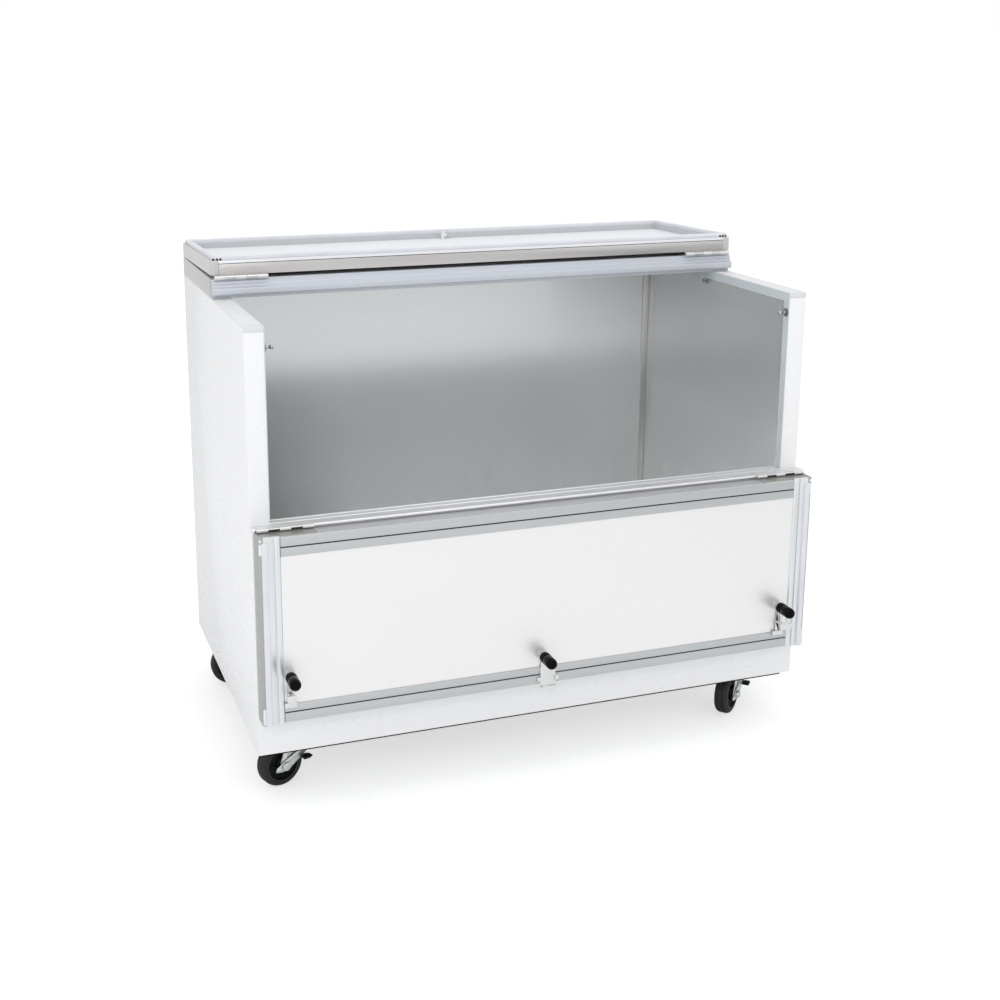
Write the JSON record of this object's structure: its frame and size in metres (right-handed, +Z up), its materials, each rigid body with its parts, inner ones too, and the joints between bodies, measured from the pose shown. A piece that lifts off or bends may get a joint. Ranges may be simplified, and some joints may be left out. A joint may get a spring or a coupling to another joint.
{
  "type": "milk cooler",
  "caption": "Milk cooler: chest-type refrigerated cabinet on swivel casters with a flip-up lid, a drop front with slide latches and a metal-lined cavity.",
  "frame": {"origin": "on the floor, under the middle of the whole object's box as modelled (lid flipped back, front hanging open)", "axes": "+X to the right as seen from the front, +Y to the back, +Z up"},
  "size_m": [1.245, 0.842, 1.0889],
  "materials": {
    "white_enamel": "gloss",
    "white_plastic": "satin",
    "white_laminate": "gloss",
    "galvanised_sheet": "satin",
    "liner_metal": "matt",
    "insulation_foam": "matt",
    "blue_grey_plastic": "satin",
    "aluminium_trim": "satin",
    "stainless_sheet": "brushed",
    "grey_plastic": "satin",
    "gasket_rubber": "matt",
    "copper": "satin",
    "black_enamel": "gloss",
    "coil_aluminium": "satin",
    "plated_steel": "zinc plated",
    "black_grip_plastic": "gloss",
    "fan_plastic": "satin",
    "wheel_rubber": "satin"
  },
  "bodies": {
    "cabinet": {"left_side_panel": "white_enamel", "right_side_panel": "white_enamel", "front_panel": "white_enamel", "back_panel": "galvanised_sheet", "rear_louvre_cover": "galvanised_sheet", "inner_liner": "liner_metal", "foam_insulation": "insulation_foam", "base_frame": "galvanised_sheet", "wall_caps": "white_plastic", "breaker_strips": "blue_grey_plastic", "sill_rail": "aluminium_trim", "fixed_top_cover": "stainless_sheet", "fixed_top_rail": "aluminium_trim", "fixed_top_underside": "grey_plastic", "evaporator_tubing": "copper", "compressor": "black_enamel", "condenser_coil": "coil_aluminium", "fan_shroud": "galvanised_sheet", "fan_motor": "black_enamel", "refrigerant_lines": "copper", "filter_drier": "copper", "control_box": "galvanised_sheet", "drain_tube": "white_plastic", "wall_catches": "plated_steel", "fixed_hinge_leaves": "stainless_sheet", "hinge_pins": "plated_steel", "caster_plates": "plated_steel"},
    "lid": {"lid_outer_pan": "stainless_sheet", "lid_corner_caps": "grey_plastic", "lid_foam": "insulation_foam", "lid_inner_panel": "white_laminate", "lid_gasket": "gasket_rubber", "lid_hinge_leaves": "stainless_sheet", "lid_strike": "plated_steel"},
    "drop_front": {"door_stiles": "aluminium_trim", "door_rails": "aluminium_trim", "door_inner_panel": "white_laminate", "door_outer_skin": "white_laminate", "door_foam": "insulation_foam", "door_gasket": "gasket_rubber", "door_hinge_leaves": "stainless_sheet", "bolt_guides": "plated_steel"},
    "left_latch": {"left_bolt": "plated_steel", "left_grip": "black_grip_plastic"},
    "right_latch": {"right_bolt": "plated_steel", "right_grip": "black_grip_plastic"},
    "middle_latch": {"middle_bolt": "plated_steel", "middle_grip": "black_grip_plastic"},
    "condenser_fan": {"fan_blade": "fan_plastic"},
    "dial": {"thermostat_dial": "black_grip_plastic"},
    "front_left_caster": {"front_left_fork": "plated_steel"},
    "front_left_roller": {"front_left_wheel": "wheel_rubber"},
    "front_right_caster": {"front_right_fork": "plated_steel"},
    "front_right_roller": {"front_right_wheel": "wheel_rubber"},
    "rear_left_caster": {"rear_left_fork": "plated_steel"},
    "rear_left_roller": {"rear_left_wheel": "wheel_rubber"},
    "rear_right_caster": {"rear_right_fork": "plated_steel"},
    "rear_right_roller": {"rear_right_wheel": "wheel_rubber"},
    "front_left_pedal": {"front_left_brake": "plated_steel"},
    "front_right_pedal": {"front_right_brake": "plated_steel"}
  },
  "joints": [
    {"name": "front_drop", "type": "hinge", "parent": "cabinet", "child": "drop_front", "pos_m": [0, -0.3316, 0.5997], "axis": [-1, 0, 0], "range_deg": [0, 180]},
    {"name": "lid_flip", "type": "hinge", "parent": "cabinet", "child": "lid", "pos_m": [0, 0.0325, 1.0445], "axis": [1, 0, 0], "range_deg": [0, 181.18]},
    {"name": "left_latch_slide", "type": "slide", "parent": "drop_front", "child": "left_latch", "axis": [0, 0, -1], "range_m": [0, 0.014]},
    {"name": "right_latch_slide", "type": "slide", "parent": "drop_front", "child": "right_latch", "axis": [0, 0, -1], "range_m": [0, 0.014]},
    {"name": "middle_latch_slide", "type": "slide", "parent": "drop_front", "child": "middle_latch", "axis": [0, 0, -1], "range_m": [0, 0.014]},
    {"name": "thermostat_turn", "type": "hinge", "parent": "cabinet", "child": "dial", "pos_m": [0.5, 0.412, 0.226], "axis": [0, 1, 0], "range_deg": [-135, 135]},
    {"name": "fan_spin", "type": "hinge", "parent": "cabinet", "child": "condenser_fan", "pos_m": [-0.09, 0.314, 0.204], "axis": [0, 1, 0], "continuous": true},
    {"name": "front_left_swivel", "type": "hinge", "parent": "cabinet", "child": "front_left_caster", "pos_m": [-0.53, -0.222, 0.119], "axis": [0, 0, 1], "continuous": true},
    {"name": "front_right_swivel", "type": "hinge", "parent": "cabinet", "child": "front_right_caster", "pos_m": [0.53, -0.222, 0.119], "axis": [0, 0, 1], "continuous": true},
    {"name": "rear_left_swivel", "type": "hinge", "parent": "cabinet", "child": "rear_left_caster", "pos_m": [-0.53, 0.296, 0.119], "axis": [0, 0, 1], "continuous": true},
    {"name": "rear_right_swivel", "type": "hinge", "parent": "cabinet", "child": "rear_right_caster", "pos_m": [0.53, 0.296, 0.119], "axis": [0, 0, 1], "continuous": true},
    {"name": "front_left_roll", "type": "hinge", "parent": "front_left_caster", "child": "front_left_roller", "pos_m": [-0.56383, -0.23431, 0.05], "axis": [-0.342, 0.9397, 0], "continuous": true},
    {"name": "front_left_brake_tilt", "type": "hinge", "parent": "front_left_caster", "child": "front_left_pedal", "pos_m": [-0.56383, -0.23431, 0.05], "axis": [-0.342, 0.9397, 0], "range_deg": [0, 12]},
    {"name": "front_right_roll", "type": "hinge", "parent": "front_right_caster", "child": "front_right_roller", "pos_m": [0.50283, -0.24562, 0.05], "axis": [-0.6561, 0.7547, 0], "continuous": true},
    {"name": "front_right_brake_tilt", "type": "hinge", "parent": "front_right_caster", "child": "front_right_pedal", "pos_m": [0.50283, -0.24562, 0.05], "axis": [-0.6561, 0.7547, 0], "range_deg": [0, 12]},
    {"name": "rear_left_roll", "type": "hinge", "parent": "rear_left_caster", "child": "rear_left_roller", "pos_m": [-0.566, 0.296, 0.05], "axis": [0, 1, 0], "continuous": true},
    {"name": "rear_right_roll", "type": "hinge", "parent": "rear_right_caster", "child": "rear_right_roller", "pos_m": [0.566, 0.296, 0.05], "axis": [0, -1, 0], "continuous": true}
  ]
}
